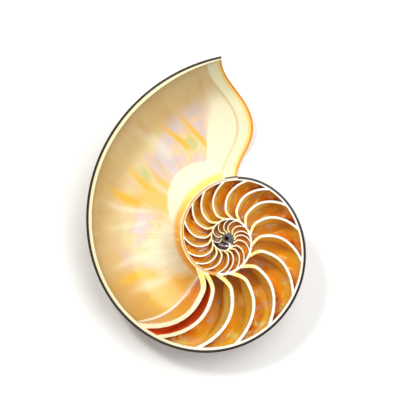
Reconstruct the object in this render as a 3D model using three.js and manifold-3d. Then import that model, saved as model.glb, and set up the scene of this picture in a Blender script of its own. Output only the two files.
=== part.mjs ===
// The sawn half of a chambered nautilus shell.
// Millimetres, +Z up. It lies on its rounded flank, so the sawn face looks up
// and leans a little towards -Y and -X. The origin is on the ground, under the middle of its box.
//
// The shell is worked out on a flat sawn plane first: +Y runs from the coil's axis to the
// tip of the mouth, depth runs down from the plane, and the growth angle turns clockwise
// from +Y. The angle is zero one turn before the mouth's tip and keeps on counting down
// towards the first chamber.

import * as THREE from "three";
import { mergeVertices } from "three/addons/utils/BufferGeometryUtils.js";
import Module from "manifold-3d";

const degrees = THREE.MathUtils.degToRad;
const turn = 2 * Math.PI;

// The spiral
const firstRadius = 33.4; // outer wall's radius where the growth angle is zero
const growthRate = 0.1737; // growth of the radius' logarithm per radian
const turnGrowth = Math.exp(growthRate * turn); // one whorl is this many times the last
const waver = { cos1: -0.0271, sin1: -0.0133, cos2: 0.0231, sin2: 0.0088 };
const youngShare = { share: 0.97, from: degrees(-40), to: degrees(40) }; // early whorls are slimmer

// A whorl's section, as shares of the outer wall's radius
const flankRing = 0.4; // where the whorl is widest
const flankDepth = 0.41; // half of its width
const navelRing = 0.07; // where the section would close again beside the axis
const roundness = 2.3; // power of the superellipse that the section follows
const navelShare = 0.75; // share of the way from the rim to the axis where the callus starts
const callus = { depth: 15, ease: 2.5 }; // its depth at the axis, and how late it gets there

// Thicknesses
const wall = { most: 3.6, settle: 40, flank: 0.65 }; // nears its most as the whorl's radius grows
const septum = { least: 0.25, share: 0.029 }; // grows with the whorl's radius
const lastSeptumFactor = 1.3;
const innerLining = 0.25; // nacre that the last whorl lays on the one before

// The mouth
const mouthTip = degrees(358.5);
const lipBulge = degrees(16.7); // how far the lip runs forward of the tip on the flank
const lipBack = degrees(4.2); // how much of that it gives back towards the axis
const lipCrest = 0.445; // where it is furthest forward, as a share in from the outer wall
const lipHollow = 0.635; // where it has come back
const lipTaper = { from: degrees(330), to: degrees(372), share: 0.55 }; // the wall thins here

// The chambers, newest first: each one's length in degrees of growth
const lastSeptumAngle = degrees(204);
const chamberLengths = [
  10, 20, 20, 21, 24, 23, 24, 22, 20, 21, 22, 22, 19, 24, 20, 22,
  19, 17, 21, 14, 19, 17, 26, 21, 16, 23, 28, 22, 30, 38, 35, 90,
];

// A septum's bowl: how far its edges run forward of its deepest point
const bowlDeepest = 0.37; // place of the deepest point, from inner wall to outer wall
const outerLead = { angle: degrees(20), power: 3 };
const innerLead = { angle: degrees(17), power: 1.6 };
const flankLead = degrees(8);
const flankPlace = 0.5; // from the sawn plane round to the section's inner tip

// The sweep of a lumen's section, from the sawn plane round to its tip beside the axis
const outerSweep = degrees(160);
const innerSweep = degrees(112);

// The pit that the first whorl turns round
const pit = { radius: 1.3, depth: 4 };

// How the half lies
const rest = { aboutX: degrees(9.3), aboutY: degrees(-6.1) };

// How it is put together: two wedges of whole whorl, with each room and the pit cut away
const wedgeStart = degrees(-20); // the older wedge starts inside the one before the mouth
const wedgeJoint = degrees(185);
const clearance = 2; // cutters stand this far above the sawn plane
const pastLip = degrees(30); // the living chamber's cutter runs this far past the mouth

// Facets: steps round the flank, from inner wall to outer wall, and along the growth
const wedgeSteps = { flank: 12, growth: 22 };
const livingSteps = [9, 5, 18];
const chamberSteps = [5, 6, 2];
const youngChamberSteps = [4, 5, 2];
const youngFromChamber = 14;
const pitSteps = { round: 10, down: 6 };
const weld = 1e-4; // corners closer than this are one

function wallRadius(angle) {
  const swing =
    waver.cos1 * Math.cos(angle) + waver.sin1 * Math.sin(angle) +
    waver.cos2 * Math.cos(2 * angle) + waver.sin2 * Math.sin(2 * angle);
  const grown = THREE.MathUtils.smoothstep(angle, youngShare.from, youngShare.to);
  const slim = youngShare.share + (1 - youngShare.share) * grown;
  return slim * firstRadius * Math.exp(growthRate * angle + swing);
}

function wallThickness(angle) {
  const taper = THREE.MathUtils.smoothstep(angle, lipTaper.from, lipTaper.to);
  const grown = wall.most * (1 - Math.exp(-wallRadius(angle) / wall.settle));
  return grown * (1 - lipTaper.share * taper);
}

function septumThickness(angle) {
  return septum.least + septum.share * wallRadius(angle);
}

// A point of the whorl's section: sweep runs from the sawn plane round the flank.
function sectionPoint(angle, sweep, inset) {
  const radius = wallRadius(angle);
  const across = Math.cos(sweep);
  const reach = across >= 0 ? 1 - flankRing : flankRing - navelRing;
  const half = Math.abs(across) ** (2 / roundness) * (reach * radius - inset);
  return {
    radial: flankRing * radius + Math.sign(across) * half,
    depth: Math.sin(sweep) ** (2 / roundness) * (flankDepth * radius - wall.flank * inset),
  };
}

// The outside of the shell, from the sawn plane (0) round the flank to the axis (1).
function outsidePoint(angle, way) {
  if (way <= navelShare) {
    return sectionPoint(angle, (way / navelShare) * innerSweep, 0);
  }
  const rim = sectionPoint(angle, innerSweep, 0);
  const inward = (way - navelShare) / (1 - navelShare);
  return {
    radial: rim.radial * (1 - inward),
    depth: callus.depth + (rim.depth - callus.depth) * (1 - inward ** callus.ease),
  };
}

function inSpace(radial, angle, depth) {
  return new THREE.Vector3(radial * Math.sin(angle), radial * Math.cos(angle), -depth);
}

// The lip runs forward over the flank and back a little towards the axis.
function lipAngle(share) {
  const inward = 1 - share;
  if (inward < lipCrest) {
    return mouthTip + lipBulge * Math.sin((Math.PI / 2) * (inward / lipCrest)) ** 2;
  }
  const back = Math.min((inward - lipCrest) / (lipHollow - lipCrest), 1);
  return mouthTip + lipBulge - lipBack * Math.sin((Math.PI / 2) * back) ** 2;
}

// How far a septum runs forward of its deepest point, and how steeply, at a place
// that goes from the inner wall (0) to the outer wall (1) on the sawn plane.
function sawnLead(place) {
  if (place > bowlDeepest) {
    const outward = (place - bowlDeepest) / (1 - bowlDeepest);
    return outerLead.angle * outward ** outerLead.power;
  }
  return innerLead.angle * ((bowlDeepest - place) / bowlDeepest) ** innerLead.power;
}

// How much wider a septum's edge is cut where it runs aslant, at a place.
function slant(place) {
  const step = 0.02;
  const slope = (sawnLead(place + step) - sawnLead(place - step)) / (2 * step);
  return Math.hypot(1, slope / Math.log(turnGrowth));
}

function septumLead(place, around) {
  const flank = Math.sin((Math.PI / 2) * Math.min(around / flankPlace, 1)) ** 2;
  return sawnLead(place) * (1 - flank) + flankLead * flank;
}

// A face of a septum: side is +1 on the mouth's side and -1 on the other.
function septumFace(septumAngle, factor, side, place, around) {
  const angle = septumAngle + septumLead(place, around);
  const middle = wallRadius(angle) * turnGrowth ** (place - 1);
  const half = (factor * septumThickness(angle) * slant(place)) / 2;
  return angle + (side * half) / middle;
}

// A closed body from a block of steps along three ways; place gives each corner's point.
function block(steps, place) {
  const [aSteps, bSteps, cSteps] = steps;
  const corners = [];
  const patch = (uSteps, vSteps, at) => {
    for (let u = 0; u < uSteps; u++) {
      for (let v = 0; v < vSteps; v++) {
        const [p, q, r, s] = [at(u, v), at(u + 1, v), at(u + 1, v + 1), at(u, v + 1)];
        corners.push(p, r, q, p, s, r);
      }
    }
  };
  patch(aSteps, bSteps, (u, v) => place(u, v, 0));
  patch(bSteps, aSteps, (u, v) => place(v, u, cSteps));
  patch(bSteps, cSteps, (u, v) => place(0, u, v));
  patch(cSteps, bSteps, (u, v) => place(aSteps, v, u));
  patch(cSteps, aSteps, (u, v) => place(v, 0, u));
  patch(aSteps, cSteps, (u, v) => place(u, bSteps, v));
  return mergeVertices(new THREE.BufferGeometry().setFromPoints(corners), weld);
}

const wasm = await Module();
wasm.setup();

// A geometry's solid, without the triangles that have shrunk to a line.
function solid(geometry) {
  const kept = [];
  const index = geometry.index.array;
  for (let i = 0; i < index.length; i += 3) {
    const [a, b, c] = index.subarray(i, i + 3);
    if (a !== b && b !== c && c !== a) {
      kept.push(a, b, c);
    }
  }
  return new wasm.Manifold(new wasm.Mesh({
    numProp: 3,
    vertProperties: new Float32Array(geometry.attributes.position.array),
    triVerts: new Uint32Array(kept),
  }));
}

// A wedge of the whole whorl with nothing hollowed out of it yet.
function whorlWedge(from, toAt) {
  return solid(block([wedgeSteps.flank, 1, wedgeSteps.growth], (a, b, c) => {
    const way = a / wedgeSteps.flank;
    const share = sectionShare(way);
    const angle = from + (toAt(share) - from) * (c / wedgeSteps.growth);
    const point = outsidePoint(angle, way);
    return inSpace(point.radial, angle, b === 0 ? 0 : point.depth);
  }));
}

// The radius of an outside point as a share of the outer wall's radius.
function sectionShare(way) {
  return outsidePoint(0, way).radial / wallRadius(0);
}

// A hollow between two angles given over the section, one turn outside the whorl before.
function hollow(steps, fromAt, toAt, lining) {
  const [aSteps, bSteps, cSteps] = steps;
  return solid(block([aSteps + 1, bSteps, cSteps], (a, b, c) => {
    const around = Math.max(a - 1, 0) / aSteps;
    const place = b / bSteps;
    const across = (turnGrowth ** place - 1) / (turnGrowth - 1);
    const from = fromAt(place, around);
    const angle = from + (toAt(place, around) - from) * (c / cSteps);
    const outer = sectionPoint(angle, around * outerSweep, wallThickness(angle));
    const inner = sectionPoint(angle - turn, around * innerSweep, -lining);
    const radial = inner.radial + (outer.radial - inner.radial) * across;
    const depth = inner.depth + (outer.depth - inner.depth) * across;
    return inSpace(radial, angle, a === 0 ? -clearance : depth);
  }));
}

// The living chamber, and the gas chambers behind it.
function hollows() {
  const made = [];
  made.push(hollow(
    livingSteps,
    (place, around) => septumFace(lastSeptumAngle, lastSeptumFactor, 1, place, around),
    () => mouthTip + pastLip,
    innerLining,
  ));
  let front = lastSeptumAngle;
  chamberLengths.forEach((length, number) => {
    const back = front - degrees(length);
    const frontFactor = number === 0 ? lastSeptumFactor : 1;
    const frontAngle = front;
    made.push(hollow(
      number < youngFromChamber ? chamberSteps : youngChamberSteps,
      (place, around) => septumFace(back, 1, 1, place, around),
      (place, around) => septumFace(frontAngle, frontFactor, -1, place, around),
      0,
    ));
    front = back;
  });
  return made;
}

function centrePit() {
  const ball = new THREE.SphereGeometry(1, pitSteps.round, pitSteps.down);
  ball.deleteAttribute("normal");
  ball.deleteAttribute("uv");
  ball.rotateX(Math.PI / 2);
  ball.scale(pit.radius, pit.radius, pit.depth);
  return solid(mergeVertices(ball, weld));
}

function shellHalf() {
  const older = whorlWedge(wedgeStart, () => wedgeJoint);
  let shell = whorlWedge(wedgeJoint, lipAngle).add(older);
  for (const room of hollows()) {
    shell = shell.subtract(room);
  }
  return shell.subtract(centrePit());
}

function toGeometry(body) {
  const mesh = body.getMesh();
  const geometry = new THREE.BufferGeometry();
  geometry.setAttribute("position", new THREE.BufferAttribute(mesh.vertProperties, 3));
  geometry.setIndex(new THREE.BufferAttribute(mesh.triVerts, 1));
  return geometry;
}

const nacre = new THREE.MeshStandardMaterial({ color: 0xe3c98f, roughness: 0.3, metalness: 0 });
const shell = new THREE.Mesh(toGeometry(shellHalf()), nacre);
shell.name = "shell_half";
shell.geometry.rotateX(rest.aboutX);
shell.geometry.rotateY(rest.aboutY);
shell.geometry.computeBoundingBox();
const box = shell.geometry.boundingBox;
const middle = box.getCenter(new THREE.Vector3());
shell.position.set(-middle.x, -middle.y, -box.min.z);

const part = new THREE.Group();
part.add(shell);

export default part;
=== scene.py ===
"""Half of a chambered nautilus shell, sawn along its coil and lying on its rounded flank.

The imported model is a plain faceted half. Here the same shell is grown again as one fine
mesh, in millimetres on a flat sawn plane, then laid down and moved to its place. The inner
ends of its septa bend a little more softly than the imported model's. On that plane +Y runs
from the coil's axis towards the mouth's tip, depth runs down from the plane, and the growth
angle turns clockwise from +Y. It is zero about one turn before the mouth's tip.
"""
import math

import bmesh
import bpy
import numpy as np
from mathutils import Matrix, Vector


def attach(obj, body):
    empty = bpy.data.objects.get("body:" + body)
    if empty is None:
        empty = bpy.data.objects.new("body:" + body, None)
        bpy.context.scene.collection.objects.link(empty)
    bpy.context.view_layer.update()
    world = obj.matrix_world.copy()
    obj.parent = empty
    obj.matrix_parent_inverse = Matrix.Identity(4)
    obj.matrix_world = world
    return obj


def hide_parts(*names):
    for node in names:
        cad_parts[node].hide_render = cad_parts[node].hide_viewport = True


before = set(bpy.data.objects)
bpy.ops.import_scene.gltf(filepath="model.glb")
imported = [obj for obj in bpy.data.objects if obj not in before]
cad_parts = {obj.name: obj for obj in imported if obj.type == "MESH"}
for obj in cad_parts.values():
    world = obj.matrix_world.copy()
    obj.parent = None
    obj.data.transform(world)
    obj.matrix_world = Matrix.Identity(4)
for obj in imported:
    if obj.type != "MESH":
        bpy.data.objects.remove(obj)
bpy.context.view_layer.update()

MM = 0.001
TURN = 2 * math.pi
deg = math.radians

# The spiral
FIRST_RADIUS = 33.4  # outer wall's radius at growth angle zero
GROWTH_RATE = 0.1737
TURN_GROWTH = math.exp(GROWTH_RATE * TURN)
YOUNG_SHARE, YOUNG_FROM, YOUNG_TO = 0.97, deg(-40), deg(40)

# A whorl's section, as shares of the outer wall's radius
FLANK_RING = 0.4
FLANK_DEPTH = 0.41
NAVEL_RING = 0.07
ROUNDNESS = 2.3
NAVEL_SHARE = 0.75  # of the way from the rim to the axis, where the callus starts
CALLUS_DEPTH, CALLUS_EASE = 15.0, 2.5

# Thicknesses
WALL_MOST, WALL_SETTLE, WALL_FLANK = 3.6, 40.0, 0.65
SEPTUM_LEAST, SEPTUM_SHARE = 0.25, 0.029
LAST_SEPTUM_FACTOR = 1.3
LINING = 0.25

# The mouth
MOUTH_TIP = deg(358.5)
LIP_BULGE, LIP_BACK = deg(16.7), deg(4.2)
LIP_CREST, LIP_HOLLOW = 0.445, 0.635
TAPER_FROM, TAPER_TO, TAPER_SHARE = deg(330), deg(372), 0.55

# The septa
LAST_SEPTUM = deg(204)
CHAMBER_LENGTHS = (
    10, 20, 20, 21, 24, 23, 24, 22, 20, 21, 22, 22, 19, 24, 20, 22,
    19, 17, 21, 14, 19, 17, 26, 21, 16, 23, 28, 22, 30, 38, 35, 90,
)
BOWL_DEEPEST = 0.37
OUTER_LEAD, OUTER_POWER = deg(20), 3.0
INNER_LEAD, INNER_POWER = deg(17), 1.9
FLANK_LEAD = deg(8)
FLANK_PLACE = 0.5  # share of the way round the section past which the lead is even

# The rooms' sections, the pit, and the wedges that the rooms are cut from
OUTER_SWEEP, INNER_SWEEP = deg(160), deg(112)
PIT_RADIUS, PIT_DEPTH = 1.3, 4.0
WEDGE_START, WEDGE_JOINT = deg(-20), deg(185)
PAST_LIP = deg(30)  # how far the living chamber's cutter runs on past the mouth's tip
CLEARANCE = 2.0  # how far the rooms' cutters stand above the sawn plane

# Mesh steps: round the section, from wall to wall and along the whorl
WEDGE_STEPS = (56, 1, 170)
BODY_STEPS = (44, 30, 200)
CHAMBER_STEPS, YOUNG_CHAMBER_STEPS, YOUNG_CHAMBER_FROM = (18, 18, 7), (13, 13, 6), 15
WELD = 1e-5

LYING = Matrix.Rotation(deg(-6.1), 4, "Y") @ Matrix.Rotation(deg(9.3), 4, "X")


def smooth(x, low, high):
    """0 below low, 1 above high and a soft step between."""
    t = np.clip((x - low) / (high - low), 0, 1)
    return t * t * (3 - 2 * t)


# ---------------------------------------------------------------- the shell's growth


def wall_radius(angle):
    """Radius of the outer wall on the sawn plane, with the real shell's slight swings."""
    swing = (-0.0271 * np.cos(angle) - 0.0133 * np.sin(angle)
             + 0.0231 * np.cos(2 * angle) + 0.0088 * np.sin(2 * angle))
    slim = YOUNG_SHARE + (1 - YOUNG_SHARE) * smooth(angle, YOUNG_FROM, YOUNG_TO)
    return slim * FIRST_RADIUS * np.exp(GROWTH_RATE * angle + swing)


def wall_thickness(angle):
    """Thickness of the outer wall on the sawn plane. It thins towards the lip."""
    grown = WALL_MOST * (1 - np.exp(-wall_radius(angle) / WALL_SETTLE))
    return grown * (1 - TAPER_SHARE * smooth(angle, TAPER_FROM, TAPER_TO))


def section_point(angle, sweep, inset):
    """Radius and depth of a whorl's section, from the sawn plane round the flank."""
    radius = wall_radius(angle)
    across = np.cos(sweep)
    reach = np.where(across >= 0, 1 - FLANK_RING, FLANK_RING - NAVEL_RING)
    half = np.abs(across) ** (2 / ROUNDNESS) * (reach * radius - inset)
    round_ = np.clip(np.sin(sweep), 0, 1) ** (2 / ROUNDNESS)
    return (FLANK_RING * radius + np.sign(across) * half,
            round_ * (FLANK_DEPTH * radius - WALL_FLANK * inset))


def outside_point(angle, way):
    """The outside, from the sawn plane (0) round the flank to the axis (1)."""
    flank = section_point(angle, np.minimum(way / NAVEL_SHARE, 1) * INNER_SWEEP, 0)
    inward = np.clip((way - NAVEL_SHARE) / (1 - NAVEL_SHARE), 0, 1)
    radial = flank[0] * (1 - inward)
    depth = CALLUS_DEPTH + (flank[1] - CALLUS_DEPTH) * (1 - inward ** CALLUS_EASE)
    return radial, np.where(inward > 0, depth, flank[1])


def lip_angle(share):
    """Growth angle of the lip, by the share of the wall's radius."""
    inward = 1 - share
    rise = np.sin(np.pi / 2 * np.clip(inward / LIP_CREST, 0, 1)) ** 2
    back = np.clip((inward - LIP_CREST) / (LIP_HOLLOW - LIP_CREST), 0, 1)
    return MOUTH_TIP + LIP_BULGE * rise - LIP_BACK * np.sin(np.pi / 2 * back) ** 2


def sawn_lead(place):
    """How far a septum's sawn edge runs forward of its deepest point."""
    outward = np.clip((place - BOWL_DEEPEST) / (1 - BOWL_DEEPEST), 0, None)
    inward = np.clip((BOWL_DEEPEST - place) / BOWL_DEEPEST, 0, None)
    return OUTER_LEAD * outward ** OUTER_POWER + INNER_LEAD * inward ** INNER_POWER


def septum_lead(place, around):
    """The same lead anywhere on a septum. around runs from the sawn plane (0) round the flank
    to the wall's other foot (1)."""
    flank = np.sin(np.pi / 2 * np.minimum(around / FLANK_PLACE, 1)) ** 2
    return sawn_lead(place) * (1 - flank) + FLANK_LEAD * flank


def septum_face(septum, factor, side, place, around):
    """Growth angle of a septum's face: side is +1 towards the mouth and -1 away from it."""
    angle = septum + septum_lead(place, around)
    step = 0.02
    slope = (sawn_lead(place + step) - sawn_lead(place - step)) / (2 * step)
    slant = np.hypot(1, slope / math.log(TURN_GROWTH))
    middle = wall_radius(angle) * TURN_GROWTH ** (place - 1)
    thick = factor * (SEPTUM_LEAST + SEPTUM_SHARE * wall_radius(angle)) * slant
    return angle + side * thick / 2 / middle


def in_space(radial, angle, depth):
    """The point at a radius, a growth angle and a depth."""
    return np.stack([radial * np.sin(angle), radial * np.cos(angle), -depth], axis=-1)


# ---------------------------------------------------------------- meshes from blocks


def block(name, steps, place, slots):
    """A closed mesh from a block of steps along three ways. place gives the corners'
    points, and slots the material slot of the sides: along it, at its back and at its front."""
    grids = np.meshgrid(*[np.arange(n + 1) for n in steps], indexing="ij")
    points = place(*grids).reshape(-1, 3)
    number = np.arange(points.shape[0]).reshape(grids[0].shape)
    quads, kinds = [], []

    def side(sheet, flip, slot):
        corners = [sheet[:-1, :-1], sheet[1:, :-1], sheet[1:, 1:], sheet[:-1, 1:]]
        faces = np.stack(corners, axis=-1).reshape(-1, 4)
        quads.append(faces[:, ::-1] if flip else faces)
        kinds.append(np.full(len(faces), slot))

    side(number[:, :, 0], True, slots[1])
    side(number[:, :, -1], False, slots[2])
    side(number[0], True, slots[0])
    side(number[-1], False, slots[0])
    side(number[:, 0], False, slots[0])
    side(number[:, -1], True, slots[0])
    quads = np.concatenate(quads)
    used, faces = np.unique(quads, return_inverse=True)
    mesh = bpy.data.meshes.new(name)
    mesh.from_pydata(points[used].tolist(), [], faces.reshape(-1, 4).tolist())
    mesh.polygons.foreach_set("material_index", np.concatenate(kinds).astype(np.int32))
    shape = bmesh.new()
    shape.from_mesh(mesh)
    bmesh.ops.remove_doubles(shape, verts=shape.verts, dist=WELD)
    bmesh.ops.triangulate(shape, faces=shape.faces)
    shape.to_mesh(mesh)
    shape.free()
    return mesh


# Until the finishes are set, a face's slot number says what it belongs to. The two wedges
# come first, then the living chamber, the gas chambers and the pit, with 3 slots each.
ROOM_SLOT = 3
LATE, EARLY, LIVING_ROOM, FIRST_CHAMBER = range(4)
SAWN_LEVEL = 1e-3  # a face that is this near the sawn plane is part of it


def whorl_wedge(name, start, end_at, slot):
    """A solid stretch of the whorl, from the growth angle start to the one that end_at gives
    for each share of the radius."""
    rings, _, angle_steps = WEDGE_STEPS
    shares = outside_point(np.zeros(rings + 1), np.arange(rings + 1) / rings)[0]
    shares = shares / wall_radius(0.0)

    def place(a, b, c):
        end = end_at(shares[a])
        angle = start + (end - start) * (c / angle_steps)
        radial, depth = outside_point(angle, a / rings)
        return in_space(radial, angle, np.where(b == 0, 0.0, depth))

    return block(name, WEDGE_STEPS, place, (slot, slot, slot + 1))


def hollow(name, steps, start_at, end_at, lining, slot):
    """A cutter for one room, between the outer wall and the whorl inside. It stands clear of
    the sawn plane, to cut through it."""
    a_steps, b_steps, c_steps = steps

    def place(a, b, c):
        around = np.maximum(a - 1, 0) / a_steps
        across_log = b / b_steps
        across = (TURN_GROWTH ** across_log - 1) / (TURN_GROWTH - 1)
        start = start_at(across_log, around)
        angle = start + (end_at(across_log, around) - start) * (c / c_steps)
        outer = section_point(angle, around * OUTER_SWEEP, wall_thickness(angle))
        inner = section_point(angle - TURN, around * INNER_SWEEP, -lining)
        radial = inner[0] + (outer[0] - inner[0]) * across
        depth = inner[1] + (outer[1] - inner[1]) * across
        return in_space(radial, angle, np.where(a == 0, -CLEARANCE, depth))

    return block(name, (a_steps + 1, b_steps, c_steps), place, (slot, slot + 1, slot + 2))


def rooms():
    """The living chamber and the gas chambers behind it, with the angles that each spans."""
    mouth_end = MOUTH_TIP + PAST_LIP
    made = [hollow(
        "living_chamber", BODY_STEPS,
        lambda place, around: septum_face(LAST_SEPTUM, LAST_SEPTUM_FACTOR, 1, place, around),
        lambda place, around: np.full(np.shape(place), mouth_end),
        LINING, LIVING_ROOM * ROOM_SLOT)]
    spans = [(LAST_SEPTUM, mouth_end)]
    front = LAST_SEPTUM
    for number, length in enumerate(CHAMBER_LENGTHS):
        back = front - deg(length)
        factor = LAST_SEPTUM_FACTOR if number == 0 else 1
        made.append(hollow(
            f"chamber_{number}",
            CHAMBER_STEPS if number < YOUNG_CHAMBER_FROM else YOUNG_CHAMBER_STEPS,
            lambda place, around, at=back: septum_face(at, 1, 1, place, around),
            lambda place, around, at=front, f=factor: septum_face(at, f, -1, place, around),
            0, (FIRST_CHAMBER + number) * ROOM_SLOT))
        spans.append((back, front))
        front = back
    return made, spans


def first_pit(slot):
    """A cutter for the small deep hollow where the shell began."""
    shape = bmesh.new()
    bmesh.ops.create_uvsphere(shape, u_segments=24, v_segments=16, radius=1)
    bmesh.ops.scale(shape, verts=shape.verts, vec=(PIT_RADIUS, PIT_RADIUS, PIT_DEPTH))
    mesh = bpy.data.meshes.new("pit")
    shape.to_mesh(mesh)
    shape.free()
    mesh.polygons.foreach_set("material_index", np.full(len(mesh.polygons), slot, np.int32))
    return mesh


def as_object(mesh, slots):
    """An object in the scene whose mesh holds that many empty material slots."""
    for _ in range(slots):
        mesh.materials.append(None)
    piece = bpy.data.objects.new(mesh.name, mesh)
    bpy.context.scene.collection.objects.link(piece)
    return piece


def combined(base, others, how):
    """base joined with or cut by the others, as one new mesh."""
    for other in others:
        change = base.modifiers.new("change", "BOOLEAN")
        change.operation = how
        change.solver = "MANIFOLD"
        change.object = other
    graph = bpy.context.evaluated_depsgraph_get()
    made = bpy.data.meshes.new_from_object(base.evaluated_get(graph))
    for piece in [base, *others]:
        bpy.data.objects.remove(piece)
    return made


def one_mesh(name, meshes):
    """Separate closed meshes put into one, with their slot numbers kept."""
    shape = bmesh.new()
    for mesh in meshes:
        shape.from_mesh(mesh)
    made = bpy.data.meshes.new(name)
    shape.to_mesh(made)
    shape.free()
    return made


def grown_shell():
    """The whole half in millimetres, and the angles that each slot's room spans."""
    cavities, spans = rooms()
    pit_room = LIVING_ROOM + len(cavities)
    slots = (pit_room + 1) * ROOM_SLOT
    cavities.append(first_pit(pit_room * ROOM_SLOT))
    late = as_object(whorl_wedge("late", WEDGE_JOINT, lip_angle, LATE * ROOM_SLOT), slots)
    early = as_object(whorl_wedge(
        "early", WEDGE_START, lambda share: WEDGE_JOINT, EARLY * ROOM_SLOT), slots)
    whole = as_object(combined(late, [early], "UNION"), 0)
    cutter = as_object(one_mesh("cavities", cavities), slots)
    return combined(whole, [cutter], "DIFFERENCE"), spans


# ---------------------------------------------------------------- where each face lies

SAWN, OUTSIDE, BODY, BOWL, CHAMBER, PIT = range(6)

# Two lobes of painted highlight: pale cream that stands in for light reflected off the
# nacre that hugs the whorl inside. Each swells out from its foot, in shares of the whorl's
# radius, between two growth angles. It fades in at "from" and out at "to" over the angle
# "ends", and its outer edge is soft over "edge". The upper lobe's edge softens outwards by
# "fade", and it flares out behind the lip by "flare".
LOBES = (
    {"start": deg(280), "end": deg(366), "foot": 0.38, "swell": 0.13, "edge": 0.012,
     "fade": 0.3, "flare": 0.7, "from": deg(286), "to": deg(400), "ends": deg(2)},
    {"start": deg(212), "end": deg(300), "foot": 0.30, "swell": 0.29, "edge": 0.10,
     "fade": 0, "flare": 0, "from": deg(215), "to": deg(292), "ends": deg(8)},
)
LOBE_ROUNDNESS = 1.3
LOBE_FADES, LOBE_FLARES = (0.52, 0.85), (deg(345), deg(361))
LOBES_END, LOBES_END_SOFT = 0.82, 0.08
PALE_MOST = 4

# Growth marks in the living chamber: growth angle, how far it bends forward on its way in,
# half width, and the shares of the radius it runs between.
GOLDEN_MARKS = [
    (deg(304), deg(1), deg(1.6), 0.44, 0.95),
    (deg(298), deg(2), deg(7.5), 0.36, 0.80),
    (deg(312), deg(2), deg(2.6), 0.42, 0.72),
    (deg(329), deg(9), deg(1.4), 0.54, 0.92),
    (deg(339), deg(10), deg(1.4), 0.50, 0.92),
    (deg(292), deg(2), deg(2.4), 0.58, 0.98),
    (deg(246), deg(-3), deg(3.0), 0.56, 1.00),
    (deg(226), deg(-2), deg(9.0), 0.30, 0.95),
]
PALE_MARKS = [
    (deg(286), deg(4), deg(1.6), 0.50, 1.05),
    (deg(276), deg(4), deg(2.0), 0.54, 1.00),
    (deg(255), deg(0), deg(2.6), 0.50, 1.05),
    (deg(238), deg(-3), deg(2.4), 0.46, 1.00),
    (deg(320), deg(6), deg(3.0), 0.56, 1.00),
]
MARK_WANDER = deg(1.8)
MARK_WAVES = (11, 5)  # in the share of the radius and in the growth angle, in radians
MARK_INNER_WIDTH, MARK_OUTER_WIDTH = 1.3, 0.9
MARK_STARTS, MARK_FADES = (0, 0.2), (0.3, 1)  # shares of a mark's length

# What tells the whorls and rooms apart
WEDGE_MIDDLES = [deg(280), deg(85)]  # growth angles near the middles of the two wedges
ROOM_LEAD = deg(9)  # how far a room's middle lies ahead of its septa's deepest points
WHORLS = range(-4, 2)  # the turns, from the first whorl to one past the last
FIRST_WHORL, LAST_WHORL = (deg(-190), deg(-160)), (deg(6), deg(12))
SKIN_SLACK = 0.02  # millimetres by which a point may lie outside the wall it belongs to
MOUTH_SLACK = 0.01  # radians by which it may lie past the mouth's tip
AXIS_CLEAR = 0.1  # the least radius that is told apart, in millimetres
NOWHERE = 1e3
REDDEST_ROOM = FIRST_CHAMBER


def mesh_values(mesh):
    """Vertex places, and for each face corner its vertex and its face's slot."""
    points = np.empty(len(mesh.vertices) * 3)
    mesh.vertices.foreach_get("co", points)
    corners = np.empty(len(mesh.loops), np.int32)
    mesh.loops.foreach_get("vertex_index", corners)
    slots = np.empty(len(mesh.polygons), np.int32)
    mesh.polygons.foreach_get("material_index", slots)
    sizes = np.empty(len(mesh.polygons), np.int32)
    mesh.polygons.foreach_get("loop_total", sizes)
    return points.reshape(-1, 3), corners, slots, sizes


def highlight_lobes(growth, share):
    """Above 1 within the two lobes of painted highlight, and below -1 outside them."""
    depths = []
    for lobe in LOBES:
        along = np.clip((growth - lobe["start"]) / (lobe["end"] - lobe["start"]), 0, 1)
        edge = lobe["foot"] + lobe["swell"] * np.sin(np.pi * along) ** LOBE_ROUNDNESS
        edge = edge + lobe["flare"] * smooth(growth, *LOBE_FLARES)
        soft = lobe["edge"] + lobe["fade"] * smooth(share, *LOBE_FADES)
        ends = np.minimum(growth - lobe["from"], lobe["to"] - growth) / lobe["ends"]
        outer = (LOBES_END - share) / LOBES_END_SOFT
        depths.append(np.minimum(np.minimum((edge - share) / soft, ends), outer))
    return np.clip(np.maximum(*depths), -PALE_MOST, PALE_MOST)


def growth_marks(marks, growth, share):
    """1 along the growth marks, fading to 0 beside them and at their ends."""
    strength = 0
    growth = growth + MARK_WANDER * np.sin(MARK_WAVES[0] * share + MARK_WAVES[1] * growth)
    for angle, bend, half_width, inner, outer in marks:
        run = np.clip((share - inner) / (outer - inner), 0, 1)
        width = half_width * (MARK_INNER_WIDTH + (MARK_OUTER_WIDTH - MARK_INNER_WIDTH) * run)
        off = (growth - angle - bend * (1 - run) ** 2) / width
        window = smooth(run, *MARK_STARTS) * (1 - smooth(run, *MARK_FADES))
        strength = np.maximum(strength, np.exp(-off ** 2) * window)
    return strength


def suture_distance(points, corners, slots, sizes):
    """Millimetres from the line where the last septum meets the living chamber's walls."""
    slot = np.repeat(slots, sizes)
    wall = np.zeros(len(points), bool)
    bowl = np.zeros(len(points), bool)
    wall[corners[slot == LIVING_ROOM * ROOM_SLOT]] = True
    bowl[corners[slot == LIVING_ROOM * ROOM_SLOT + 1]] = True
    seam = points[wall & bowl]
    distance = np.full(len(points), NOWHERE)
    for i in np.flatnonzero(wall | bowl):
        distance[i] = np.sqrt(((seam - points[i]) ** 2).sum(axis=1).min())
    return distance[corners]


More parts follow.
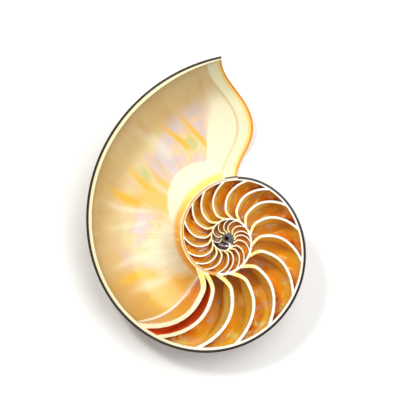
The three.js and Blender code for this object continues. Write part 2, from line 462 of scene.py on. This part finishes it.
def growth_fields(mesh, spans):
    """What the finishes need to know at each face corner, worked out from the growth:

    growth   the growth angle in turns
    across   0 at the whorl's inner wall and 1 at its outer wall
    rise     depth as a share of the whorl's half width
    gap      0 at the septum behind the room and 1 at the one before it
    tone     a number of its own for each room, from 0 to 1, or -1 in the reddest one
    skin     millimetres in from the outside of the nearest wall of the sawn face
    rim      1 where that wall faces the open air, 0 on the whorl inside and -1 within that
    lip      millimetres back from the lip
    foot     millimetres out from the whorl inside, seen square to the sawn face
    suture   millimetres from the last septum's line on the living chamber's walls
    pale     above 1 in the lobes of painted highlight and below -1 outside them
    golden   1 along the golden growth marks
    silver   1 along the pale growth marks
    """
    points, corners, slots, sizes = mesh_values(mesh)
    slot = np.repeat(slots, sizes)
    x, y, z = points[corners].T
    radial = np.hypot(x, y)
    turned = np.arctan2(x, y)

    wall_turns = turned + TURN * np.array(WHORLS)[:, None]
    depths = wall_radius(wall_turns) - radial
    on_shell = (depths > -SKIN_SLACK) & (wall_turns < MOUTH_TIP + MOUTH_SLACK)
    depths = np.where(on_shell, depths, NOWHERE)
    nearest = depths.argmin(axis=0)
    wall_turn = np.take_along_axis(wall_turns, nearest[None], axis=0)[0]

    room = slot // ROOM_SLOT
    middles = WEDGE_MIDDLES + [(a + b) / 2 + ROOM_LEAD for a, b in spans] + [0.0]
    growth = turned + TURN * np.round((np.array(middles)[room] - turned) / TURN)
    growth = np.where((room < LIVING_ROOM) & (z > -SAWN_LEVEL), wall_turn, growth)
    radius = wall_radius(growth)
    inside = wall_radius(growth - TURN)
    across = np.log(np.maximum(radial, AXIS_CLEAR) / inside) / math.log(TURN_GROWTH)
    rise = np.clip(-z / (FLANK_DEPTH * radius), 0, 1)

    around = np.arcsin(rise ** (ROUNDNESS / 2)) / OUTER_SWEEP
    lead = septum_lead(np.clip(across, 0, 1), around)
    backs = np.array([0.0, 0.0] + [a for a, _ in spans] + [0.0])[room]
    fronts = np.array([1.0, 1.0] + [b for _, b in spans] + [1.0])[room]
    tones = np.random.default_rng(11).random(len(middles))
    tones[REDDEST_ROOM] = -1
    last_whorl = smooth(wall_turn, *LAST_WHORL)
    first_whorl = 1 - smooth(wall_turn, *FIRST_WHORL)

    share = np.clip(radial / radius, 0, 1)
    return {
        "growth": growth / TURN,
        "across": across,
        "rise": rise,
        "gap": np.clip((growth - backs - lead) / (fronts - backs), 0, 1),
        "tone": tones[room],
        "skin": depths.min(axis=0),
        "rim": last_whorl - first_whorl,
        "lip": (lip_angle(share) - growth) * radial,
        "foot": radial - inside,
        "suture": suture_distance(points, corners, slots, sizes),
        "pale": highlight_lobes(growth, share),
        "golden": growth_marks(GOLDEN_MARKS, growth, share),
        "silver": growth_marks(PALE_MARKS, growth, share),
    }


def face_finishes(mesh):
    """The finish of each face, from the slot that tells the rooms and their faces apart."""
    points, corners, slots, sizes = mesh_values(mesh)
    starts = np.concatenate([[0], np.cumsum(sizes)[:-1]])
    lowest = np.minimum.reduceat(points[corners, 2], starts)
    room, face = slots // ROOM_SLOT, slots % ROOM_SLOT
    finish = np.full(len(slots), CHAMBER)
    finish[room < LIVING_ROOM] = OUTSIDE
    finish[(room < LIVING_ROOM) & (lowest > -SAWN_LEVEL)] = SAWN
    finish[room == LIVING_ROOM] = BODY
    finish[(room == LIVING_ROOM) & (face == 1)] = BOWL
    finish[room == room.max()] = PIT
    return finish


# ---------------------------------------------------------------- finishes


def colour(code):
    """Linear colour from an sRGB hex value such as "E8B955"."""
    parts = [int(code[i:i + 2], 16) / 255 for i in (0, 2, 4)]
    return (*[c / 12.92 if c <= 0.04045 else ((c + 0.055) / 1.055) ** 2.4 for c in parts], 1.0)


def node(tree, kind, inputs, out=0, stops=(), **settings):
    """Adds a node with its settings, links and colour stops, and returns one of its outputs."""
    made = tree.nodes.new("ShaderNode" + kind)
    for name, value in settings.items():
        setattr(made, name, value)
    for place, value in inputs.items():
        if isinstance(value, bpy.types.NodeSocket):
            tree.links.new(value, made.inputs[place])
        else:
            made.inputs[place].default_value = value
    for i, (place, code) in enumerate(stops):
        if i > 1:
            made.color_ramp.elements.new(1.0)
        made.color_ramp.elements[i].position = place
        made.color_ramp.elements[i].color = colour(code)
    return made.outputs[out]


def new_finish(name, fields=(), **uniform):
    """A material whose shader has these values all over, its tree, and one socket for each
    growth field that it reads."""
    material = bpy.data.materials.new(name)
    material.use_nodes = True
    tree = material.node_tree
    for socket, value in uniform.items():
        tree.nodes["Principled BSDF"].inputs[socket.replace("_", " ")].default_value = value
    read = [node(tree, "Attribute", {}, out="Fac", attribute_name=field) for field in fields]
    return material, tree, read


def grown_clouds(tree, grown, along, over, deep, detail):
    """Soft clouding from 0 to 1 that follows the growth. grown holds the growth in turns, the
    place across the whorl and the depth. along is how many clouds there are to a turn, over
    how many from wall to wall, and deep how many down to the flank."""
    place = node(tree, "VectorMath", {0: grown, 1: (along, over, deep)}, operation="MULTIPLY")
    return node(tree, "TexNoise", {"Vector": place, "Scale": 1.0, "Detail": detail,
                                   "Roughness": 0.55})


def stained(tree, base, stains):
    """Lays stains over a base colour. Each stain has the field it follows, the values of that
    field at which it starts and is full, its strength and its colour."""
    for measure, starts, full, strength, shade in stains:
        share = node(tree, "MapRange", {0: measure, 1: starts, 2: full, 4: strength},
                     interpolation_type="SMOOTHSTEP")
        shade = colour(shade) if isinstance(shade, str) else shade
        base = node(tree, "Mix", {0: share, 6: base, 7: shade}, out=2, data_type="RGBA")
    return base


def surfaced(tree, base, height, relief):
    """Gives the shader its colour, and a relief of this many metres from a height."""
    shader = tree.nodes["Principled BSDF"]
    tree.links.new(base, shader.inputs["Base Color"])
    bump = node(tree, "Bump", {"Strength": 1.0, "Distance": relief, "Height": height})
    tree.links.new(bump, shader.inputs["Normal"])


def grown_nacre():
    """Mother of pearl as the animal laid it, in the living chamber. Smooth and softly
    glossy, cream where it is thick beside the whorl inside, lit up there by painted
    reflection, and tan with painted shade on the thin outer wall, with two lobes of painted
    highlight and a golden band of painted reflection at the whorl's foot, golden marks and
    rosy, greenish and silvery clouds along its growth lines. The clouds are 10 to 25 mm
    wide, and the growth lines 3 to 5 mm, drawn coarser than real ones. The thin film gives
    a faint play of colour in the gloss."""
    material, tree, read = new_finish(
        "grown_nacre", ("growth", "across", "rise", "lip", "foot", "suture", "pale", "golden",
                        "silver"),
        Roughness=0.34, IOR=1.53, Coat_Weight=0.35, Coat_Roughness=0.12,
        Thin_Film_Thickness=420.0, Thin_Film_IOR=1.45)
    growth, across, rise, lip, foot, suture, pale, golden, silver = read
    grown = node(tree, "CombineXYZ", {"X": growth, "Y": across, "Z": rise})
    wide = grown_clouds(tree, grown, 14.4, 2.08, 1.6, 3)
    clouds = grown_clouds(tree, grown, 22.5, 3.6, 3.0, 2)
    lines = grown_clouds(tree, grown, 70.4, 1.92, 1.6, 3)
    wander = node(tree, "MapRange", {0: wide, 3: -0.2, 4: 0.2})
    place = node(tree, "Math", {0: across, 1: wander}, operation="ADD")
    # Cream beside the whorl inside, partly painted reflection, to tan on the outer wall, a
    # painted shade. The lower ramp does the same in yellows.
    upper = node(tree, "ValToRGB", {0: place}, stops=[
        (0.0, "F2E2A8"), (0.35, "E2D49E"), (0.6, "DAC898"), (0.8, "D8BC86"), (1.0, "DAB87C")])
    lower = node(tree, "ValToRGB", {0: place}, stops=[
        (0.0, "F4DE5C"), (0.35, "E8D06C"), (0.6, "DCBC58"), (0.8, "CEA244"), (1.0, "C89840")])
    tints = node(tree, "ValToRGB", {0: clouds}, stops=[
        (0.34, "BEC47C"), (0.45, "DAD494"), (0.53, "E2C0A8"), (0.62, "C8BECC")])
    # Painted reflection: a golden band on the floor at the foot of the whorl inside, orange on
    # the older part and yellow near the mouth.
    foot_reflection = node(tree, "ValToRGB", {0: growth}, stops=[
        (0.62, "EFA01C"), (0.8, "F4B426"), (0.9, "FCDD48")])
    middle = node(tree, "MapRange", {0: across, 1: 0.95, 2: 0.65},
                  interpolation_type="SMOOTHSTEP")
    streak = node(tree, "Math", {0: lines, 1: middle}, operation="MULTIPLY")
    edging = node(tree, "MapRange", {0: across, 1: 0.55, 2: 0.9},
                  interpolation_type="SMOOTHSTEP")
    outer_streak = node(tree, "Math", {0: lines, 1: edging}, operation="MULTIPLY")
    base = stained(tree, upper, [
        (middle, 0.0, 1.0, 0.75, tints),
        (growth, 0.76, 0.62, 0.85, lower),
        (streak, 0.46, 0.66, 0.45, "DDB242"),
        (outer_streak, 0.42, 0.66, 0.4, "C9985A"),
        (silver, 0.0, 1.0, 0.4, "F4ECD0"),
        (golden, 0.0, 0.9, 0.95, "ECB41C"),
        # Painted highlight: the pale lobes beside the whorl inside.
        (pale, -1.0, 1.0, 0.95, "F0E9C6"),
        # Painted reflection at the foot of the whorl inside.
        (foot, 5.4, 2.6, 1.0, foot_reflection),
        (foot, -0.2, -2.5, 0.85, "EFE2B4"),
        (lip, 9.8, 8.8, 0.7, "D2BE8C"),
        (lip, 8.4, 7.4, 0.9, "F2EAC2"),
        (lip, 4.0, 1.6, 0.8, "F2CE58"),
        (lip, 1.5, 1.0, 1.0, "E8920E"),
        (suture, 1.6, 0.5, 0.85, "F6F0DC")])
    height = node(tree, "Math", {0: lines, 1: wide}, operation="ADD")
    surfaced(tree, base, height, 0.00035)
    return material


def septum_nacre():
    """Mother of pearl on the last septum's hollow face, thin enough for the amber wall
    behind to tint it: mauve near the whorl inside, orange in the middle and tan at the
    outer wall, with a white bead where it is sealed to the chamber's wall."""
    material, tree, (growth, across, rise, suture) = new_finish(
        "septum_nacre", ("growth", "across", "rise", "suture"),
        Roughness=0.26, IOR=1.6, Coat_Weight=0.3, Coat_Roughness=0.1)
    grown = node(tree, "CombineXYZ", {"X": growth, "Y": across, "Z": rise})
    clouds = grown_clouds(tree, grown, 28.8, 4.8, 4.8, 3)
    wander = node(tree, "MapRange", {0: clouds, 3: -0.15, 4: 0.15})
    place = node(tree, "Math", {0: across, 1: wander}, operation="ADD")
    base = node(tree, "ValToRGB", {0: place}, stops=[
        (0.05, "A85A80"), (0.24, "C45C60"), (0.40, "EA7C18"), (0.65, "E8982C"), (0.9, "D8AC58")])
    base = stained(tree, base, [
        (suture, 7.0, 2.0, 0.55, "D8848C"),
        (suture, 1.5, 0.5, 0.9, "FFF8E4")])
    surfaced(tree, base, clouds, 0.0002)
    return material


def chamber_nacre():
    """Mother of pearl in the gas chambers, stained amber by age, with painted light and
    shade over it: a painted highlight in yellow on the hollow of each septum, orange
    between them, deeper orange in the depth as painted shade, brown as painted shadow
    under the next septum's back and as painted shade beside the whorl inside, with yellow
    streaks of painted highlight and rosy and silvery patches. The streaks are 1 to 4 mm
    wide. The older a chamber, the darker it is coloured."""
    material, tree, (growth, across, gap, rise, tone) = new_finish(
        "chamber_nacre", ("growth", "across", "gap", "rise", "tone"),
        Roughness=0.26, IOR=1.6, Coat_Weight=0.6, Coat_Roughness=0.06)
    grown = node(tree, "CombineXYZ", {"X": growth, "Y": across, "Z": rise})
    streaks = grown_clouds(tree, grown, 70.4, 2.56, 3.2, 3)
    patches = grown_clouds(tree, grown, 27.2, 6.8, 5.1, 2)
    wander = node(tree, "MapRange", {0: streaks, 3: -0.55, 4: 0.5})
    place = node(tree, "Math", {0: gap, 1: wander}, operation="ADD")
    # Painted light along each chamber: a yellow highlight on the hollow of the septum behind,
    # through orange, to brown painted shadow under the back of the septum in front.
    base = node(tree, "ValToRGB", {0: place}, stops=[
        (0.0, "FFF27A"), (0.22, "FFE050"), (0.45, "FFCA30"), (0.7, "FFAA1A"), (0.88, "F88412"),
        (1.0, "C05610")])
    # Painted shade: brown in clouds beside the whorl inside, where the chamber is deepest.
    whorl_shade = node(tree, "Math", {0: patches, 1: 0.3, 2: across}, operation="MULTIPLY_ADD")
    wall = node(tree, "Math", {0: patches, 1: across}, operation="MULTIPLY")
    base = stained(tree, base, [
        # Painted shade: deeper orange further down in the chamber.
        (rise, 0.3, 0.85, 0.55, "FF8E1A"),
        (whorl_shade, 0.42, 0.12, 0.5, "93400E"),
        # Painted shadow: dark brown under the back of the septum in front.
        (gap, 0.82, 1.0, 0.45, "7A300A"),
        (wall, 0.46, 0.58, 0.5, "FFB98C"),
        (patches, 0.40, 0.34, 0.45, "DCC6B8"),
        # Painted highlights: pale yellow streaks.
        (streaks, 0.44, 0.34, 0.9, "FFF292"),
        (tone, 0.5, 1.0, 0.3, "FFD23A"),
        (tone, 0.0, -0.5, 0.8, "FF6420"),
        # Darker the older the chamber, nearly black in the oldest ones.
        (growth, 0.05, -0.35, 0.35, "E08414"),
        (growth, -0.75, -1.15, 0.65, "7E3A12"),
        (growth, -1.22, -1.34, 0.9, "2A1018")])
    surfaced(tree, base, streaks, 0.0002)
    return material


def sawn_nacre():
    """Nacre sawn through and polished: white to cream, in faint layers a millimetre apart
    (drawn coarser than real ones), yellow where a septum meets the whorl inside and dark
    brown round the pit. The thin stained skin of the outside shows as a dark line round the
    last whorl, and an amber one on the whorl inside."""
    material, tree, (growth, skin, rim, across) = new_finish(
        "sawn_nacre", ("growth", "skin", "rim", "across"),
        Roughness=0.2, IOR=1.6, Coat_Weight=0.2, Coat_Roughness=0.08)
    younger = node(tree, "MapRange", {0: growth, 1: 0.52, 2: 0.6},
                   interpolation_type="SMOOTHSTEP")
    cream = node(tree, "Math", {0: younger, 1: rim}, operation="MULTIPLY")
    stain = node(tree, "MapRange", {0: rim, 1: -1.0, 2: 0.0, 3: 4.0, 4: 0.0})
    stain = node(tree, "Math", {0: skin, 1: stain}, operation="ADD")
    place = node(tree, "CombineXYZ", {"X": skin, "Y": growth})
    layers = node(tree, "TexWave", {"Vector": place, "Scale": 0.32, "Distortion": 0.8,
                                    "Detail": 2.0}, out=1, bands_direction="X")
    edge = node(tree, "Mix", {0: rim, 6: colour("E2A030"), 7: colour("24140C")},
                out=2, data_type="RGBA")
    base = stained(tree, colour("F4F2E6"), [
        (layers, 0.3, 1.0, 0.35, "EDE0B8"),
        (cream, 0.0, 1.0, 0.75, "E8DCA2"),
        (across, 0.45, 0.12, 0.75, "FFE060"),
        (growth, -1.57, -1.64, 0.93, "2A1614"),
        (stain, 1.55, 1.25, 1.0, edge)])
    surfaced(tree, base, layers, 0.00005)
    return material


def outer_shell():
    """The porcelain-like outer layer as grown: cream, with rust-brown flames 10 to 20 mm
    apart that cross the flank on the older part, growth lines 1 to 2 mm apart, drawn
    coarser than real ones, and a plain cream front part."""
    material, tree, (growth, across, rise, lip) = new_finish(
        "outer_shell", ("growth", "across", "rise", "lip"),
        Roughness=0.36, IOR=1.57, Coat_Weight=0.15, Coat_Roughness=0.2)
    grown = node(tree, "CombineXYZ", {"X": growth, "Y": across, "Z": rise})
    sway = grown_clouds(tree, grown, 6.0, 1.5, 1.8, 1.2)
    lines = grown_clouds(tree, grown, 225.0, 0.9, 0.9, 3)
    flames_to_a_turn = 20.0
    bend = node(tree, "MapRange", {0: sway, 3: -1.6, 4: 1.6})
    wave = node(tree, "Math", {0: growth, 1: flames_to_a_turn, 2: bend},
                operation="MULTIPLY_ADD")
    wave = node(tree, "Math", {0: wave, 1: TURN}, operation="MULTIPLY")
    wave = node(tree, "Math", {0: wave}, operation="SINE")
    flank = node(tree, "MapRange", {0: across, 1: 0.1, 2: 0.6},
                 interpolation_type="SMOOTHSTEP")
    old = node(tree, "MapRange", {0: growth, 1: 0.95, 2: 0.5}, interpolation_type="SMOOTHSTEP")
    where = node(tree, "Math", {0: flank, 1: old}, operation="MULTIPLY")
    flame = node(tree, "Math", {0: wave, 1: where}, operation="MULTIPLY")
    base = stained(tree, colour("F6ECD8"), [
        (lines, 0.4, 0.7, 0.7, "DDC59C"),
        (flame, 0.15, 0.6, 0.92, "93431E"),
        (lip, 4.0, 0.5, 1.0, "D2963C")])
    surfaced(tree, base, lines, 0.0003)
    return material


def pit_darkness():
    """The first chamber's deep hollow, dull and nearly black with a purple cast."""
    material, tree, (growth, across, rise) = new_finish(
        "pit_darkness", ("growth", "across", "rise"), Roughness=0.45, IOR=1.5)
    grown = node(tree, "CombineXYZ", {"X": growth, "Y": across, "Z": rise})
    clouds = grown_clouds(tree, grown, 12.0, 6.0, 6.0, 2)
    base = node(tree, "ValToRGB", {0: clouds}, stops=[(0.3, "1E1018"), (0.7, "4A2230")])
    surfaced(tree, base, clouds, 0.0001)
    return material


# ---------------------------------------------------------------- the piece and the studio


def lay_down(mesh):
    """Turns the shell from its flat sawn plane into its resting pose, in metres, standing on
    the ground under the middle of its box. Returns where the coil's centre comes to lie."""
    mesh.transform(LYING @ Matrix.Scale(MM, 4))
    points = mesh_values(mesh)[0]
    low, high = Vector(points.min(axis=0)), Vector(points.max(axis=0))
    centre = Vector((-(low.x + high.x) / 2, -(low.y + high.y) / 2, -low.z))
    mesh.transform(Matrix.Translation(centre))
    return centre


def shell_half():
    """The shell as one piece, with its finishes. Returns where the coil's centre lies."""
    mesh, spans = grown_shell()
    mesh.name = "nautilus_half"
    for name, numbers in growth_fields(mesh, spans).items():
        layer = mesh.attributes.new(name, "FLOAT", "CORNER")
        layer.data.foreach_set("value", numbers.astype(np.float32))
    finishes = face_finishes(mesh)
    mesh.materials.clear()
    for make in (sawn_nacre, outer_shell, grown_nacre, septum_nacre, chamber_nacre, pit_darkness):
        mesh.materials.append(make())
    mesh.polygons.foreach_set("material_index", finishes.astype(np.int32))
    coil_centre = lay_down(mesh)
    mesh.shade_smooth()
    mesh.set_sharp_from_angle(angle=deg(38))
    piece = bpy.data.objects.new("nautilus_half", mesh)
    bpy.context.scene.collection.objects.link(piece)
    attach(piece, "root")
    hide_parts("shell_half")
    return coil_centre


def camera(coil_centre):
    """Looks down square onto the sawn face."""
    view_width, distance = 0.216, 0.9  # in metres
    sensor = 36  # in millimetres
    middle_across, middle_up = -14.15 * MM, 20.79 * MM  # of the view, from the coil's centre
    side, up, out = [(LYING @ Vector(axis)).normalized()
                     for axis in ((1, 0, 0), (0, 1, 0), (0, 0, 1))]
    target = coil_centre + side * middle_across + up * middle_up
    data = bpy.data.cameras.new("camera")
    data.sensor_width = sensor
    data.lens = sensor * distance / view_width
    data.clip_start, data.clip_end = 0.05, 20
    eye = bpy.data.objects.new("camera", data)
    turned = Matrix((side, up, out)).transposed().to_4x4()
    eye.matrix_world = Matrix.Translation(target + out * distance) @ turned
    bpy.context.scene.collection.objects.link(eye)
    bpy.context.scene.camera = eye


def softbox(name, place, size, power, tone):
    """A round lamp aimed at the middle of the shell, in metres and watts."""
    middle = Vector((0, 0, 0.02))
    data = bpy.data.lights.new(name, "AREA")
    data.shape = "DISK"
    data.size = size
    data.energy = power
    data.color = colour(tone)[:3]
    lamp = bpy.data.objects.new(name, data)
    lamp.location = place
    lamp.rotation_euler = (middle - Vector(place)).to_track_quat("-Z", "Y").to_euler()
    bpy.context.scene.collection.objects.link(lamp)


def studio():
    """A pale paper floor, a key softbox from the upper left, a wide lamp overhead, a fill
    from the right and an even sky. Each lamp stands well off the sawn face's own direction,
    so that the polish doesn't mirror it into the view and hide the dark rim."""
    mesh = bpy.data.meshes.new("floor")
    half = 3.0
    corners = [(-half, -half, 0), (half, -half, 0), (half, half, 0), (-half, half, 0)]
    mesh.from_pydata(corners, [], [(0, 1, 2, 3)])
    material, tree, _ = new_finish("floor_paper", Roughness=0.9)
    fibres = node(tree, "TexNoise", {"Scale": 900.0, "Detail": 2.0})
    base = stained(tree, colour("F0F0EE"), [(fibres, 0.4, 0.9, 0.2, "F0F0EC")])
    surfaced(tree, base, fibres, 0.00003)
    mesh.materials.append(material)
    floor = bpy.data.objects.new("floor", mesh)
    bpy.context.scene.collection.objects.link(floor)
    softbox("key", (-0.45, 0.36, 1.00), 0.20, 5.2, "FFFDF8")
    softbox("overhead", (0.22, 0.26, 1.06), 0.75, 7.2, "FFFFFF")
    softbox("fill", (0.65, -0.25, 0.85), 0.90, 2.4, "FAFBFF")
    world = bpy.data.worlds.new("studio")
    world.use_nodes = True
    sky = world.node_tree.nodes["Background"]
    sky.inputs["Color"].default_value = colour("F4F5F8")
    sky.inputs["Strength"].default_value = 0.40
    bpy.context.scene.world = world
    bpy.context.scene.view_settings.view_transform = "Standard"


camera(shell_half())
studio()
